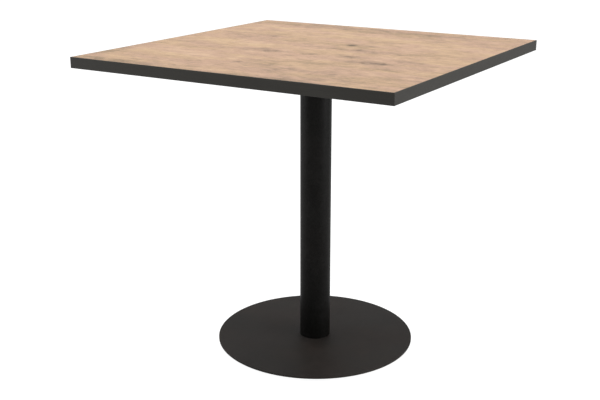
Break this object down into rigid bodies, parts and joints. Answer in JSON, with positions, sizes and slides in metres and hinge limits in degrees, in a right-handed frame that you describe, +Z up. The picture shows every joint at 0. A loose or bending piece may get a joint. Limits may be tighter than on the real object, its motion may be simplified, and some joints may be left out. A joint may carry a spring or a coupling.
{
  "type": "bistro table",
  "caption": "Square pedestal bistro table: wood-look board with dark edging on a round steel column and a thin round steel foot plate with levelling glides.",
  "frame": {"origin": "on the floor, under the middle of the column and of the square board", "axes": "+Z up; -Y to the front of the board, +X to its right; the grain of the board runs along X"},
  "size_m": [0.8, 0.8, 0.75],
  "materials": {
    "wood_decor": "satin laminate with a light oak print, grain along X",
    "particle_board": "raw particle board",
    "backing_grey": "plain matt balancing laminate",
    "edging_grey": "fine-grained matt plastic edging",
    "column_black": "satin black powder coat",
    "plate_black": "fine-textured black powder coat",
    "bare_steel": "plain turned steel",
    "zinc_steel": "bright zinc plate",
    "nylon_black": "moulded matt nylon"
  },
  "bodies": {
    "table": {"top_laminate": "wood_decor", "tabletop_core": "particle_board", "backing_laminate": "backing_grey", "edge_band_front": "edging_grey", "edge_band_back": "edging_grey", "edge_band_left": "edging_grey", "edge_band_right": "edging_grey", "support_cross": "plate_black", "tabletop_screws": "zinc_steel", "cross_bolt": "zinc_steel", "column_tube": "column_black", "column_top_insert": "bare_steel", "column_foot_insert": "bare_steel", "base_disc": "plate_black", "base_bolt": "zinc_steel", "base_washer": "zinc_steel", "glide_nuts": "plate_black"},
    "pad_front_left": {"glide_pad_front_left": "nylon_black"},
    "stud_front_left": {"glide_stud_front_left": "zinc_steel"},
    "pad_front_right": {"glide_pad_front_right": "nylon_black"},
    "stud_front_right": {"glide_stud_front_right": "zinc_steel"},
    "pad_back_left": {"glide_pad_back_left": "nylon_black"},
    "stud_back_left": {"glide_stud_back_left": "zinc_steel"},
    "pad_back_right": {"glide_pad_back_right": "nylon_black"},
    "stud_back_right": {"glide_stud_back_right": "zinc_steel"}
  },
  "joints": [
    {"name": "glide_front_left_height", "type": "slide", "parent": "table", "child": "pad_front_left", "axis": [0, 0, -1], "range_m": [0, 0.005]},
    {"name": "glide_front_left_turn", "type": "hinge", "parent": "pad_front_left", "child": "stud_front_left", "pos_m": [-0.14142, -0.14142, 0], "axis": [0, 0, -1], "range_deg": [0, 1440]},
    {"name": "glide_front_right_height", "type": "slide", "parent": "table", "child": "pad_front_right", "axis": [0, 0, -1], "range_m": [0, 0.005]},
    {"name": "glide_front_right_turn", "type": "hinge", "parent": "pad_front_right", "child": "stud_front_right", "pos_m": [0.14142, -0.14142, 0], "axis": [0, 0, -1], "range_deg": [0, 1440]},
    {"name": "glide_back_left_height", "type": "slide", "parent": "table", "child": "pad_back_left", "axis": [0, 0, -1], "range_m": [0, 0.005]},
    {"name": "glide_back_left_turn", "type": "hinge", "parent": "pad_back_left", "child": "stud_back_left", "pos_m": [-0.14142, 0.14142, 0], "axis": [0, 0, -1], "range_deg": [0, 1440]},
    {"name": "glide_back_right_height", "type": "slide", "parent": "table", "child": "pad_back_right", "axis": [0, 0, -1], "range_m": [0, 0.005]},
    {"name": "glide_back_right_turn", "type": "hinge", "parent": "pad_back_right", "child": "stud_back_right", "pos_m": [0.14142, 0.14142, 0], "axis": [0, 0, -1], "range_deg": [0, 1440]}
  ],
  "couplings": [
    {"joint": "glide_front_left_turn", "follows": "glide_front_left_height", "rad_per_m": 5026.5},
    {"joint": "glide_front_right_turn", "follows": "glide_front_right_height", "rad_per_m": 5026.5},
    {"joint": "glide_back_left_turn", "follows": "glide_back_left_height", "rad_per_m": 5026.5},
    {"joint": "glide_back_right_turn", "follows": "glide_back_right_height", "rad_per_m": 5026.5}
  ]
}
